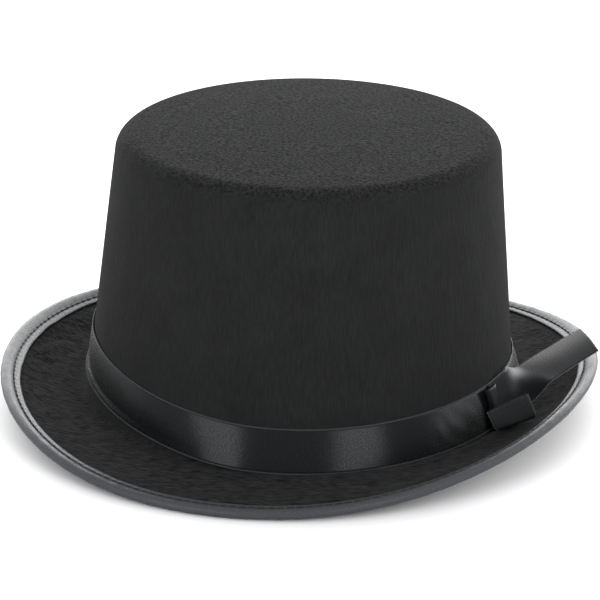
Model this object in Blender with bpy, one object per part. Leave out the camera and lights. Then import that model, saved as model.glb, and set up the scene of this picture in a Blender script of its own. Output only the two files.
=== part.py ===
"""Felt top hat: a moulded felt body, a bound brim edge, a satin ribbon with two loose ends, and a sweatband.

Metres, +Z up. The origin is on the table under the middle of the brim, and the hat's front looks along -Y.
Angles go round the hat from the front (0) towards the wearer's left side (+90, at +X).
"""

import math

import bmesh
import bpy
import numpy as np
from mathutils import Matrix, Vector

MM = 0.001
FACETS = 72  # round every ring, so that nested rings have parallel facets

# Brim, measured over its binding
BRIM_HALF_LENGTH = 153.9 * MM
BRIM_HALF_WIDTH = 130.8 * MM
SIDE_CURL = 16.7 * MM  # how far the sides of the brim rise above its front
SIDE_CURL_SKEW = 1.4 * MM  # the wearer's left side curls this much more, the right side less
CURL_SPREAD = 2.37  # power of the sine that spreads the curl round the rim
CURL_BEND = 1.5  # power that bends the brim from its foot to its rim

# Crown, measured on the outside of the felt
FELT = 2.0 * MM
CROWN_FOOT_HALF_LENGTH = 102.0 * MM
CROWN_FOOT_HALF_WIDTH = 94.3 * MM
CROWN_TOP_HALF_LENGTH = 89.3 * MM
CROWN_TOP_HALF_WIDTH = 84.3 * MM
SHOULDER_Z = 114.0 * MM  # where the side ends and the rounded shoulder starts
FLARE_Z = 4.7 * MM  # where the side has its full foot size
SHOULDER_RADIUS = 8.8 * MM
TIP_DOME = 3.0 * MM
CROWN_LEAN = 2.0 * MM  # sideways shift of the tip, towards the wearer's left
FOOT_Z = 1.7 * MM  # middle of the felt at the front of the crown's foot
FOOT_RISE = 2.4 * MM  # how much higher the foot is at the sides
FOOT_FILLET = 5.0 * MM
FOOT_FILLET_START = math.radians(10.5)
TIP_Z = SHOULDER_Z + SHOULDER_RADIUS + TIP_DOME

# Binding folded over the brim's edge
BINDING_DEPTH = 8.5 * MM
BINDING_ROLL = 2.2 * MM  # half the thickness of the puffed outer roll
BINDING_WALL = 0.45 * MM
STITCH_INSET = 5.3 * MM  # from the rim to the row of stitches
EDGE_GAP = 0.3 * MM
PRESSED_FELT = 0.75  # share of the felt's thickness left under the binding
PINCHED_HALF = PRESSED_FELT * FELT / 2 + EDGE_GAP + BINDING_WALL
PRESS_INSET = 9.3 * MM  # from the rim to where the felt is pressed
FELT_INSET = 1.7 * MM  # from the binding's outside to the felt's own edge
THREAD_RADIUS = 0.2 * MM
THREAD_GAP = 0.25 * MM

# Ribbon
RIBBON_WIDTH = 18.5 * MM
RIBBON_THICK = 0.5 * MM
BAND_HEIGHT = 17.4 * MM
BAND_TOP_Z = 21.2 * MM  # at the front
BAND_SIDE_RISE = 6.2 * MM
BAND_TILT = 3.5 * MM  # the band rides this much higher on the wearer's right, lower on the left
BAND_SLIP = 4.5 * MM  # how much further it has slipped up on the wearer's right
BAND_SLIP_POWER = 1.25
BAND_HUG = 3.6 * MM  # how much closer its lower edge lies to the crown there
BAND_HUG_SIDE = 0.5  # sine of the angle by which it lies close
BAND_STRAIGHTEN = 1.0 * MM  # how much taller it stands where it lies close
BAND_TOP_GAP = 0.5 * MM
BAND_FOOT_GAP = 4.2 * MM
KNOT_START = math.radians(69.5)
KNOT_END = math.radians(75)
KNOT_CLEARANCE = 1.8 * MM
KNOT_THICK = 1.8 * MM

# The long loose end: it leaves the crown upright, turns flat and bridges to the rim
LONG_START = math.radians(73)
LONG_CLEARANCE = 0.6 * MM
LONG_RUN_ON = 27.0 * MM  # how far it keeps to the crown's direction before it turns out
LONG_TIP = Vector((0.1240, 0.0328, 0.0265))
LONG_SAG_Z = 18.2 * MM
LONG_UPRIGHT = math.radians(71.5)
LONG_FLAT = math.radians(5.5)
LONG_TURN = (0.22, 0.55)  # shares of the run between which it turns flat
LONG_HINGE = 0.5  # share of the run where the free part starts to lift
LONG_CUT_SLANT = 4.1 * MM  # the end is cut at a slant, this far each way from the middle
HINGE_GAP = 0.3 * MM

# The short loose end: it lies on the brim, then stands up at a crease
CREASE_IN = Vector((0.0975, -0.0430, 0.0072))
CREASE_OUT = Vector((0.1137, -0.0360, 0.0124))
SHORT_TIP_IN = Vector((0.0931, -0.0440, 0.0169))
SHORT_TIP_OUT = Vector((0.1088, -0.0379, 0.0245))
SHORT_BULGE = 1.2 * MM
SHORT_ROOT_IN = Vector((0.0990, -0.0300, 0.0076))
SHORT_ROOT_OUT = Vector((0.1056, -0.0275, 0.0098))

# Glue, sweatband and label
GLUE_RADIUS = 3.0 * MM
GLUE_HALF_THICK = 0.7 * MM
GLUE_OFFSET = 1.15 * MM
GLUE_SLOPE = 0.2  # the crown's side leans in this much under the band
GLUE_ANGLES = {"front": 0, "left": 50, "back_left": 130, "back": 180}
SWEATBAND_START = 1.6 * MM  # above the foot
SWEATBAND_HEIGHT = 25.0 * MM
SWEATBAND_THICK = 0.6 * MM
SWEATBAND_GAP = 0.4 * MM
SWEATBAND_SEAM = 2.5 * MM  # from its lower edge to the stitches
LABEL_HALF_ANGLE = math.radians(7)
LABEL_Z = (10.0 * MM, 24.0 * MM)
LABEL_THICK = 0.4 * MM
LABEL_GAP = 0.3 * MM

COLOURS = {
    "felt": ((0.022, 0.023, 0.023), 0.95),
    "satin": ((0.020, 0.021, 0.022), 0.35),
    "binding": ((0.10, 0.10, 0.105), 0.30),
    "thread": ((0.010, 0.010, 0.010), 0.60),
    "glue": ((0.75, 0.72, 0.62), 0.40),
    "sweatband": ((0.018, 0.018, 0.019), 0.75),
    "label": ((0.80, 0.80, 0.78), 0.50),
}


def smooth(t):
    """0 to 1 with level ends."""
    t = min(max(t, 0.0), 1.0)
    return t * t * (3 - 2 * t)


def finish(name, bm, colour):
    """Puts a bmesh into a new object with its own material, shaded smooth."""
    mesh = bpy.data.meshes.new(name)
    bm.to_mesh(mesh)
    bm.free()
    obj = bpy.data.objects.new(name, mesh)
    bpy.context.scene.collection.objects.link(obj)
    paint(obj, colour)
    mesh.shade_smooth()
    mesh.set_sharp_from_angle(angle=math.radians(35))
    return obj


def paint(obj, colour):
    """Gives an object a plain material of its own."""
    base, rough = COLOURS[colour]
    material = bpy.data.materials.new(obj.name)
    material.use_nodes = True
    shader = material.node_tree.nodes["Principled BSDF"]
    shader.inputs["Base Color"].default_value = (*base, 1)
    shader.inputs["Roughness"].default_value = rough
    shader.inputs["Metallic"].default_value = 0
    obj.data.materials.append(material)


def slab(name, front, back, colour, ring=False):
    """A closed solid between two grids of points of the same size: both faces and the walls round them.
    With ring=True the rows close on themselves and have no end walls."""
    bm = bmesh.new()
    rows, columns = len(front), len(front[0])
    faces_of = [[[bm.verts.new(p) for p in row] for row in grid] for grid in (front, back)]
    near, far = faces_of
    for i in range(rows if ring else rows - 1):
        k = (i + 1) % rows
        for j in range(columns - 1):
            bm.faces.new((near[i][j], near[k][j], near[k][j + 1], near[i][j + 1]))
            bm.faces.new((far[i][j], far[i][j + 1], far[k][j + 1], far[k][j]))
        bm.faces.new((near[i][0], far[i][0], far[k][0], near[k][0]))
        bm.faces.new((near[i][-1], near[k][-1], far[k][-1], far[i][-1]))
    if not ring:
        for j in range(columns - 1):
            bm.faces.new((near[0][j], near[0][j + 1], far[0][j + 1], far[0][j]))
            bm.faces.new((near[-1][j], far[-1][j], far[-1][j + 1], near[-1][j + 1]))
    bmesh.ops.recalc_face_normals(bm, faces=bm.faces)
    return finish(name, bm, colour)


def thickened(grid, thick):
    """Two copies of a grid of points, half the thickness to each side along its normals."""
    p = np.array([[list(v) for v in row] for row in grid])
    normal = np.cross(np.gradient(p, axis=0), np.gradient(p, axis=1))
    normal /= np.linalg.norm(normal, axis=2, keepdims=True)
    return p + normal * thick / 2, p - normal * thick / 2


def thread(name, points, colour):
    """A closed loop of thread through the points."""
    curve = bpy.data.curves.new(name, "CURVE")
    curve.dimensions = "3D"
    curve.bevel_depth = THREAD_RADIUS
    curve.bevel_resolution = 0
    spline = curve.splines.new("POLY")
    spline.points.add(len(points) - 1)
    for point, place in zip(spline.points, points):
        point.co = (*place, 1)
    spline.use_cyclic_u = True
    obj = bpy.data.objects.new(name, curve)
    bpy.context.scene.collection.objects.link(obj)
    paint(obj, colour)
    return obj


def ring_angles():
    """The corners of the facets round the hat: the front and the back each have a level facet."""
    return [2 * math.pi * (i + 0.5) / FACETS for i in range(FACETS)]


# The shape of the hat that every piece follows


def side_size(z):
    """Half-length and half-width of the crown's outer face at height z."""
    flare = max(0.0, (SHOULDER_Z - z) / (SHOULDER_Z - FLARE_Z))
    return (
        CROWN_TOP_HALF_LENGTH + (CROWN_FOOT_HALF_LENGTH - CROWN_TOP_HALF_LENGTH) * flare,
        CROWN_TOP_HALF_WIDTH + (CROWN_FOOT_HALF_WIDTH - CROWN_TOP_HALF_WIDTH) * flare,
    )


def oval(angle, half_length, half_width, z):
    """A point on an oval at height z, with the crown's lean."""
    lean = CROWN_LEAN * z / TIP_Z
    return Vector((half_width * math.sin(angle) + lean, -half_length * math.cos(angle), z))


def on_side(angle, z, offset):
    """A point that stands off the crown's side by offset."""
    half_length, half_width = side_size(z)
    return oval(angle, half_length + offset, half_width + offset, z)


def foot_z(angle):
    """Height of the middle of the felt where the crown meets the brim."""
    return FOOT_Z + FOOT_RISE * math.sin(angle) ** 2


def curl(angle):
    """How far the rim rises above its front."""
    side = math.sin(angle)
    return (SIDE_CURL + SIDE_CURL_SKEW * side) * abs(side) ** CURL_SPREAD


def fillet_end(angle):
    """Half-length, half-width and height where the foot's fillet runs out into the brim."""
    z = foot_z(angle) + FOOT_FILLET * (1 - math.sin(FOOT_FILLET_START))
    half_length, half_width = side_size(z)
    grow = FOOT_FILLET * math.cos(FOOT_FILLET_START) - FELT / 2
    return half_length + grow, half_width + grow, foot_z(angle)


def brim_point(angle, share):
    """A point in the middle of the brim's thickness: share 0 is the foot's fillet, 1 the rim."""
    half_length, half_width, z = fillet_end(angle)
    length = half_length + (BRIM_HALF_LENGTH - half_length) * share
    width = half_width + (BRIM_HALF_WIDTH - half_width) * share
    level = z + (BINDING_ROLL - z) * smooth(share)
    return Vector((width * math.sin(angle), -length * math.cos(angle), level + curl(angle) * share**CURL_BEND))


def brim_share(angle, inset):
    """Where on the brim a point is that lies inset in from the rim."""
    return 1 - inset / (brim_point(angle, 1.0) - brim_point(angle, 0.0)).length


def brim_frame(angle, inset):
    """The brim's middle at an inset from the rim, and the direction up from it."""
    share = brim_share(angle, inset)
    step = 1e-4
    along = brim_point(angle + step, share) - brim_point(angle - step, share)
    out = brim_point(angle, share) - brim_point(angle, share - step)
    return brim_point(angle, share), out.cross(along).normalized()


# Pieces


def felt_body():
    """Crown and brim, moulded from one felt blank: a skin in the middle of the felt, given its thickness."""
    rings = []
    inner_length = CROWN_TOP_HALF_LENGTH - SHOULDER_RADIUS
    inner_width = CROWN_TOP_HALF_WIDTH - SHOULDER_RADIUS
    middle = FELT / 2
    for share in (0.1, 0.35, 0.6, 0.82):
        z = TIP_Z - middle - TIP_DOME * share**2
        rings.append([oval(a, inner_length * share, inner_width * share, z) for a in ring_angles()])
    radius = SHOULDER_RADIUS - middle
    for turn in np.radians((0, 22, 45, 67, 90)):
        grow, z = radius * math.sin(turn), SHOULDER_Z + radius * math.cos(turn)
        rings.append([oval(a, inner_length + grow, inner_width + grow, z) for a in ring_angles()])
    side_end = FOOT_FILLET * (1 - math.sin(FOOT_FILLET_START))
    for share in (0.25, 0.5, 0.7, 0.85, 1.0):
        levels = [SHOULDER_Z + (foot_z(a) + side_end - SHOULDER_Z) * share for a in ring_angles()]
        rings.append([on_side(a, z, -middle) for a, z in zip(ring_angles(), levels)])
    for turn in np.radians((30, 50, 70)):
        grow = FOOT_FILLET * (math.cos(FOOT_FILLET_START) - math.cos(turn)) - middle
        ring = []
        for a in ring_angles():
            half_length, half_width = side_size(foot_z(a) + side_end)
            z = foot_z(a) + FOOT_FILLET * (1 - math.sin(turn))
            ring.append(oval(a, half_length + grow, half_width + grow, z))
        rings.append(ring)
    for part in (0.0, 0.35, 0.7, 0.93):
        shares = [brim_share(a, PRESS_INSET) * part for a in ring_angles()]
        rings.append([brim_point(a, share) for a, share in zip(ring_angles(), shares)])
    for inset in (PRESS_INSET, (PRESS_INSET + FELT_INSET) / 2, FELT_INSET):
        rings.append([brim_frame(a, inset)[0] for a in ring_angles()])
    bm = bmesh.new()
    verts = [[bm.verts.new(p) for p in ring] for ring in rings]
    bm.faces.new(verts[0])
    for upper, lower in zip(verts, verts[1:]):
        for i in range(FACETS):
            k = (i + 1) % FACETS
            bm.faces.new((upper[i], lower[i], lower[k], upper[k]))
    bm.normal_update()
    obj = finish("felt_body", bm, "felt")
    full = obj.vertex_groups.new(name="thickness")
    pressed = len(rings) - 3
    for number in range(len(rings)):
        weight = PRESSED_FELT if number >= pressed else 1.0
        full.add(list(range(number * FACETS, (number + 1) * FACETS)), weight, "REPLACE")
    solid = obj.modifiers.new("Felt thickness", "SOLIDIFY")
    solid.thickness = FELT
    solid.offset = 0
    solid.use_even_offset = True
    solid.vertex_group = "thickness"
    return obj


def edge_binding():
    """A strip folded over the rim: a U in section, puffed at the rim and pinched at the stitches."""
    roll = BINDING_ROLL
    outer = [(-BINDING_DEPTH, PINCHED_HALF + 0.15 * MM), (-STITCH_INSET, PINCHED_HALF)]
    outer += [(-3.8 * MM, roll), (-roll, roll)]
    outer += [(roll * (math.sin(t) - 1), roll * math.cos(t)) for t in np.radians((45, 90))]
    inner_half = PINCHED_HALF - BINDING_WALL
    inner_end = -BINDING_WALL
    outer += [(r, -n) for r, n in reversed(outer[:-1])]
    inner = [(-BINDING_DEPTH, -inner_half), (inner_end - inner_half, -inner_half)]
    inner += [(inner_end, 0.0)]
    inner += [(r, -n) for r, n in reversed(inner[:-1])]
    section = outer + inner
    bm = bmesh.new()
    verts = []
    for a in ring_angles():
        frames = [brim_frame(a, -r) for r, _ in section]
        verts.append([bm.verts.new(here + up * n) for (here, up), (_, n) in zip(frames, section)])
    for i in range(FACETS):
        k = (i + 1) % FACETS
        for j in range(len(section)):
            m = (j + 1) % len(section)
            bm.faces.new((verts[i][j], verts[k][j], verts[k][m], verts[i][m]))
    bmesh.ops.recalc_face_normals(bm, faces=bm.faces)
    return finish("edge_binding", bm, "binding")


def binding_threads():
    """The two threads of the row of lockstitch, above and below the binding."""
    lift = PINCHED_HALF + THREAD_GAP + THREAD_RADIUS
    for name, side in (("binding_needle_thread", 1), ("binding_bobbin_thread", -1)):
        points = []
        for a in ring_angles():
            here, up = brim_frame(a, STITCH_INSET)
            points.append(here + up * lift * side)
        thread(name, points, "thread")


def band_point(angle, share, offset=0.0):
    """A point on the inner face of the band: share 0 is its upper edge, 1 its lower edge."""
    side = math.sin(angle)
    hug = smooth(-side / BAND_HUG_SIDE)
    slip = BAND_SLIP * max(0.0, -side) ** BAND_SLIP_POWER
    top = BAND_TOP_Z + BAND_SIDE_RISE * side**2 - BAND_TILT * side + slip
    height = BAND_HEIGHT + BAND_STRAIGHTEN * hug
    gap = BAND_TOP_GAP + (BAND_FOOT_GAP - BAND_HUG * hug - BAND_TOP_GAP) * share
    return on_side(angle, top - height * share, gap + offset)


def hat_band():
    """The ribbon round the foot of the crown."""
    shares = (0.0, 0.5, 1.0)
    outer = [[band_point(a, s, RIBBON_THICK) for s in shares] for a in ring_angles()]
    inner = [[band_point(a, s) for s in shares] for a in ring_angles()]
    return slab("hat_band", outer, inner, "satin", ring=True)


def ribbon_knot():
    """The pleat where the two ends cross, standing over the band."""
    steps, shares = 8, (0.02, 0.25, 0.5, 0.75, 0.98)
    base = RIBBON_THICK + KNOT_CLEARANCE
    outer, inner = [], []
    for i in range(steps + 1):
        part = i / steps
        angle = KNOT_START + (KNOT_END - KNOT_START) * part
        bulge = RIBBON_THICK + KNOT_THICK * math.sin(math.pi * part) ** 0.7
        outer.append([band_point(angle, s, base + bulge) for s in shares])
        inner.append([band_point(angle, s, base) for s in shares])
    return slab("ribbon_knot", outer, inner, "satin")


def long_frame(share):
    """Middle of the long end and its direction across, from the outer edge to the inner edge."""
    start = band_point(LONG_START, 0.5, RIBBON_THICK + LONG_CLEARANCE)
    step = 1e-3
    heading = band_point(LONG_START + step, 0.5) - band_point(LONG_START - step, 0.5)
    heading.z = 0
    bend = start + heading.normalized() * LONG_RUN_ON
    bend.z = LONG_SAG_Z
    left = 1 - share
    middle = start * left**2 + bend * (2 * left * share) + LONG_TIP * share**2
    along = (bend - start) * left + (LONG_TIP - bend) * share
    inward = Vector((-along.y, along.x, 0)).normalized()
    turned = smooth((share - LONG_TURN[0]) / (LONG_TURN[1] - LONG_TURN[0]))
    turn = LONG_UPRIGHT + (LONG_FLAT - LONG_UPRIGHT) * turned
    return middle, along.normalized(), inward * math.cos(turn) + Vector((0, 0, math.sin(turn)))


def long_strip(name, first, last, steps, slant=0.0, trim=(0.0, 0.0)):
    """A stretch of the long end between two shares of its run, cut back at each end by trim."""
    grid = []
    for i in range(steps + 1):
        part = i / steps
        middle, along, across = long_frame(first + (last - first) * part)
        middle = middle + along * (trim[0] * (i == 0) - trim[1] * (i == steps))
        grid.append(
            [middle + (across * RIBBON_WIDTH / 2 + along * slant * part**3) * k for k in (-1, 0, 1)]
        )
    front, back = thickened(grid, RIBBON_THICK)
    return slab(name, front, back, "satin")


def long_end():
    """The fixed twist beside the knot, and the free part that lifts off the brim."""
    long_strip("long_end_root", 0.0, LONG_HINGE, 8, trim=(0.0, HINGE_GAP))
    free = long_strip("ribbon_long_end", LONG_HINGE, 1.0, 7, LONG_CUT_SLANT, (HINGE_GAP, 0.0))
    middle, _, _ = long_frame(LONG_HINGE)
    set_origin(free, middle)


def short_end():
    """The root that lies on the brim, and the free part that stands up from its crease."""
    tip, crease = (SHORT_TIP_IN, SHORT_TIP_OUT), (CREASE_IN, CREASE_OUT)
    face = (crease[1] - crease[0]).cross(tip[0] - crease[0]).normalized()
    rise = (tip[0] - crease[0]).normalized() * HINGE_GAP
    grid = []
    for part in (0.0, 0.33, 0.67, 1.0):
        bow = face * SHORT_BULGE * math.sin(math.pi * part)
        ends = [c.lerp(t, part) + bow + rise * (part == 0) for c, t in zip(crease, tip)]
        grid.append([ends[0], ends[0].lerp(ends[1], 0.5), ends[1]])
    front, back = thickened(grid, RIBBON_THICK)
    free = slab("ribbon_short_end", front, back, "satin")
    set_origin(free, CREASE_IN.lerp(CREASE_OUT, 0.5))
    lead = ((SHORT_ROOT_IN + SHORT_ROOT_OUT) - (crease[0] + crease[1])).normalized() * HINGE_GAP
    root = []
    for part in (0.0, 0.5, 1.0):
        ends = [
            c.lerp(r, part) + lead * (part == 0)
            for c, r in zip(crease, (SHORT_ROOT_IN, SHORT_ROOT_OUT))
        ]
        root.append([ends[0], ends[0].lerp(ends[1], 0.5), ends[1]])
    front, back = thickened(root, RIBBON_THICK)
    slab("short_end_root", front, back, "satin")


def set_origin(obj, place):
    """Moves an object's origin to place and leaves its shape where it is."""
    obj.data.transform(Matrix.Translation(-place))
    obj.location = place


def glue_dots():
    """Dots of glue between the crown and the band."""
    for name, degrees in GLUE_ANGLES.items():
        angle = math.radians(degrees)
        here = on_side(angle, band_point(angle, 0.5).z, GLUE_OFFSET)
        out = Vector((math.sin(angle), -math.cos(angle), GLUE_SLOPE))
        spin = Vector((0, 0, 1)).rotation_difference(out).to_matrix().to_4x4()
        size = Matrix.Diagonal((GLUE_RADIUS, GLUE_RADIUS, GLUE_HALF_THICK, 1))
        bm = bmesh.new()
        bmesh.ops.create_uvsphere(bm, u_segments=12, v_segments=6, radius=1.0)
        bmesh.ops.transform(bm, matrix=spin @ size, verts=bm.verts)
        bmesh.ops.translate(bm, vec=here, verts=bm.verts)
        finish(f"band_glue_{name}", bm, "glue")


def sweatband():
    """The band inside the foot of the crown, and the thread that holds its lower edge."""
    inner_face = -FELT - SWEATBAND_GAP - SWEATBAND_THICK
    outer, inner, seam = [], [], []
    for a in ring_angles():
        bottom = foot_z(a) + SWEATBAND_START
        levels = [bottom + SWEATBAND_HEIGHT * s for s in (0.0, 0.5, 1.0)]
        outer.append([on_side(a, z, inner_face + SWEATBAND_THICK) for z in levels])
        inner.append([on_side(a, z, inner_face) for z in levels])
        seam.append(on_side(a, bottom + SWEATBAND_SEAM, inner_face - THREAD_GAP - THREAD_RADIUS))
    slab("sweatband", outer, inner, "sweatband", ring=True)
    thread("sweatband_thread", seam, "thread")


def size_label():
    """A blank label inside the back of the sweatband."""
    offset = -FELT - SWEATBAND_GAP - SWEATBAND_THICK - LABEL_GAP
    angles = [math.pi + LABEL_HALF_ANGLE * s for s in (-1, -0.5, 0, 0.5, 1)]
    outer = [[on_side(a, z, offset) for z in LABEL_Z] for a in angles]
    inner = [[on_side(a, z, offset - LABEL_THICK) for z in LABEL_Z] for a in angles]
    return slab("size_label", outer, inner, "label")


def build():
    for obj in list(bpy.data.objects):
        bpy.data.objects.remove(obj)
    felt_body()
    edge_binding()
    binding_threads()
    hat_band()
    ribbon_knot()
    long_end()
    short_end()
    glue_dots()
    sweatband()
    size_label()


build()
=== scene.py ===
"""Looks of a black felt top hat with a bound brim and a satin ribbon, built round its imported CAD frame.

Metres, +Z up, the hat's front towards -Y and the wearer's left side towards +X.
Angles go round the hat from the front (0) towards the wearer's left (+90 degrees).
"""

import bpy
import numpy as np
from mathutils import Matrix, Vector


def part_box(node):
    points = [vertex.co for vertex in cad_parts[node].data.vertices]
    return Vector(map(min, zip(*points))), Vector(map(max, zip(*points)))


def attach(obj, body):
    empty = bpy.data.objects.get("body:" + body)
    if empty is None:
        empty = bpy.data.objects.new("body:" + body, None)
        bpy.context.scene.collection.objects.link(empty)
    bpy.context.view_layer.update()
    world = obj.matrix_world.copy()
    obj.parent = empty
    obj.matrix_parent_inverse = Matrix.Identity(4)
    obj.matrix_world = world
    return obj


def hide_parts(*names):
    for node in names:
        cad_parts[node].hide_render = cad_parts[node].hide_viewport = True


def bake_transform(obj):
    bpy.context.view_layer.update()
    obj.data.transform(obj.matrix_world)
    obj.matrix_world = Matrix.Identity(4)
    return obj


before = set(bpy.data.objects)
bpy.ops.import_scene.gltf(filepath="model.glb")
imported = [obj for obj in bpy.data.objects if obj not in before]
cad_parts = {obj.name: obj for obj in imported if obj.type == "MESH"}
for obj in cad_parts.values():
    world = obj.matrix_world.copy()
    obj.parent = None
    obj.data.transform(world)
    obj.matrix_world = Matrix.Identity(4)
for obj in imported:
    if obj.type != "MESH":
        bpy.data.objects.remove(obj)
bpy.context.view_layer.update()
MM = 0.001
TURN = 2 * np.pi

# The view: a long lens from a little above the brim, in front and slightly to the wearer's left of the middle.
# The camera is rolled by about a degree, as a hand-held one is.
AIM = Vector((0.0006, -0.0063, 0.0464))
VIEW_AZIMUTH, VIEW_ELEVATION, VIEW_ROLL = np.radians((12.8, 19.18, 1.09))
VIEW_DISTANCE = 1.946
LENS = 264.7

scene = bpy.context.scene
scene.view_settings.view_transform = "Standard"


def looking_from(aim, azimuth, elevation, distance, roll=0.0):
    """A matrix that stands at a distance from aim and looks back at it: its Z axis points away from aim,
    its X axis is level and its Y axis up, both turned about Z by roll."""
    level = Vector((np.cos(azimuth), np.sin(azimuth), 0))
    back = Vector((np.sin(azimuth) * np.cos(elevation), -np.cos(azimuth) * np.cos(elevation), np.sin(elevation)))
    up = back.cross(level)
    right, top = level * np.cos(roll) + up * np.sin(roll), up * np.cos(roll) - level * np.sin(roll)
    matrix = Matrix((right, top, back)).transposed().to_4x4()
    matrix.translation = aim + back * distance
    return matrix


camera_data = bpy.data.cameras.new("camera")
camera_data.lens = LENS
camera_data.sensor_width = 36
camera_data.clip_end = 20
camera = bpy.data.objects.new("camera", camera_data)
scene.collection.objects.link(camera)
camera.matrix_world = looking_from(AIM, VIEW_AZIMUTH, VIEW_ELEVATION, VIEW_DISTANCE, VIEW_ROLL)
scene.camera = camera


# The light: a broad white wall behind the hat and a dimmer soft box above it, one at each side, and two in
# front. The front ones are low and small, and they make the two patches of light on the ribbon.
# Each box is given as its name, azimuth and elevation in degrees, distance, size and power.
def soft_box(name, azimuth, elevation, distance, size, power):
    """An oblong area light of a width and a height, at a distance from the hat and facing it."""
    light = bpy.data.lights.new(name, "AREA")
    light.shape = "RECTANGLE"
    light.size, light.size_y = size
    light.energy = power
    lamp = bpy.data.objects.new(name, light)
    scene.collection.objects.link(lamp)
    lamp.matrix_world = looking_from(Vector((0, 0, 0.05)), *np.radians((azimuth, elevation)), distance)


soft_box("back_top", 190, 52, 2.0, (2.6, 1.5), 8)
soft_box("back_wall", 188, 20, 2.6, (5.0, 1.5), 165)
soft_box("left_side", -98, 20, 2.2, (1.6, 1.3), 9)
soft_box("right_side", 112, 20, 2.2, (1.6, 1.3), 19)
soft_box("front_left", -29, 15, 1.5, (0.72, 0.75), 8.3)
soft_box("front_right", 47, 15, 1.5, (0.62, 0.75), 6.8)
world = bpy.data.worlds.new("room")
scene.world = world
world.use_nodes = True
world.node_tree.nodes["Background"].inputs["Color"].default_value = (0.50, 0.50, 0.51, 1)
world.node_tree.nodes["Background"].inputs["Strength"].default_value = 1.45


# The floor: a plain white sheet that the hat stands on. It isn't part of the hat.
# The helpers that make meshes, materials and nodes for every piece are here too.
def surface(name, points, close_rows=False, close_columns=False, poles=False, caps=False, uv=None):
    """A mesh over a grid of points, rows by columns, as quads between neighbours. close_rows and
    close_columns join the last to the first, poles fans the first and last row to their middles, and caps
    closes the first and last row of a flat loop, joining column j to column n-1-j.
    uv is a grid like points, one longer each way where it closes. Faces are turned to enclose a positive volume."""
    rows, columns = points.shape[:2]
    index = np.arange(rows * columns).reshape(rows, columns)
    if close_columns:
        index = np.concatenate((index, index[:, :1]), 1)
    if close_rows:
        index = np.concatenate((index, index[:1]), 0)
    quads = np.stack((index[:-1, :-1], index[1:, :-1], index[1:, 1:], index[:-1, 1:]), -1).reshape(-1, 4)
    vertices = points.reshape(-1, 3)
    faces = quads.tolist()
    if caps:
        half = columns // 2
        j = np.arange(half - 1)
        for row, flip in ((0, 1), (rows - 1, -1)):
            start = row * columns
            cap = np.stack((start + j, start + j + 1, start + columns - 2 - j, start + columns - 1 - j), -1)
            faces += cap[:, ::flip].tolist()
    if poles:
        middles = np.stack((points[0].mean(0), points[-1].mean(0)))
        vertices = np.concatenate((vertices, middles))
        for row, middle, flip in ((0, rows * columns, 1), (rows - 1, rows * columns + 1, -1)):
            edge = index[row]
            fan = np.stack((np.full(len(edge) - 1, middle), edge[:-1], edge[1:]), -1)
            faces += fan[:, ::flip].tolist()
    a, b, c = (vertices[quads[:, k]] for k in (0, 1, 2))
    d = vertices[quads[:, 3]]
    volume = np.einsum("ij,ij->", a, np.cross(b, c)) + np.einsum("ij,ij->", a, np.cross(c, d))
    if volume < 0:
        faces = [face[::-1] for face in faces]
    mesh = bpy.data.meshes.new(name)
    mesh.from_pydata(vertices.tolist(), [], faces)
    if uv is not None:
        layer = mesh.uv_layers.new(name="UVMap")
        corners = np.stack((uv[:-1, :-1], uv[1:, :-1], uv[1:, 1:], uv[:-1, 1:]), -2).reshape(-1, 4, 2)
        if volume < 0:
            corners = corners[:, ::-1]
        flat = np.zeros((len(mesh.loops), 2), np.float32)
        flat[: len(quads) * 4] = corners.reshape(-1, 2)
        layer.data.foreach_set("uv", flat.ravel())
    mesh.shade_smooth()
    piece = bpy.data.objects.new(name, mesh)
    scene.collection.objects.link(piece)
    return piece


def finish(name, colour, roughness):
    """A new material of one Principled shader: returns the material, its node tree and the shader."""
    material = bpy.data.materials.new(name)
    material.use_nodes = True
    shader = material.node_tree.nodes["Principled BSDF"]
    shader.inputs["Base Color"].default_value = (*colour, 1)
    shader.inputs["Roughness"].default_value = roughness
    return material, material.node_tree, shader


def node(tree, kind, inputs=None, **settings):
    """A node with its settings and inputs: an input is a value, or a socket to link from."""
    made = tree.nodes.new(kind)
    for key, value in settings.items():
        setattr(made, key, value)
    for key, value in (inputs or {}).items():
        if isinstance(value, bpy.types.NodeSocket):
            tree.links.new(value, made.inputs[key])
        else:
            made.inputs[key].default_value = value
    return made


def ranged(tree, value, start, end, low, high):
    """A socket that goes from low to high as value goes from start to end, and no further."""
    inputs = {"Value": value, "From Min": start, "From Max": end, "To Min": low, "To Max": high}
    return node(tree, "ShaderNodeMapRange", inputs).outputs["Result"]


def bumped(tree, shader, height, strength, distance):
    """Links a bump of a height map to the shader."""
    bump = node(tree, "ShaderNodeBump", {"Height": height, "Strength": strength, "Distance": distance})
    tree.links.new(bump.outputs[0], shader.inputs["Normal"])


def between(tree, fac, first, second):
    """A colour socket that goes from one colour to another as fac goes from 0 to 1."""
    inputs = {0: fac, 6: (*first, 1), 7: (*second, 1)}
    return node(tree, "ShaderNodeMix", inputs, data_type="RGBA").outputs[2]


FLOOR_HALF, FLOOR_DROP = 6.0, 0.05 * MM
floor = surface(
    "floor",
    np.array([[(x, y, -FLOOR_DROP) for x in (-FLOOR_HALF, FLOOR_HALF)] for y in (-FLOOR_HALF, FLOOR_HALF)]),
)
paper, tree, shader = finish("white_paper", (0.93, 0.93, 0.93), 0.7)
grain = node(tree, "ShaderNodeTexNoise", {"Scale": 40.0, "Detail": 3.0})
tree.links.new(ranged(tree, grain.outputs["Fac"], 0.0, 1.0, 0.92, 0.94), shader.inputs["Base Color"])
floor.data.materials.append(paper)


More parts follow.
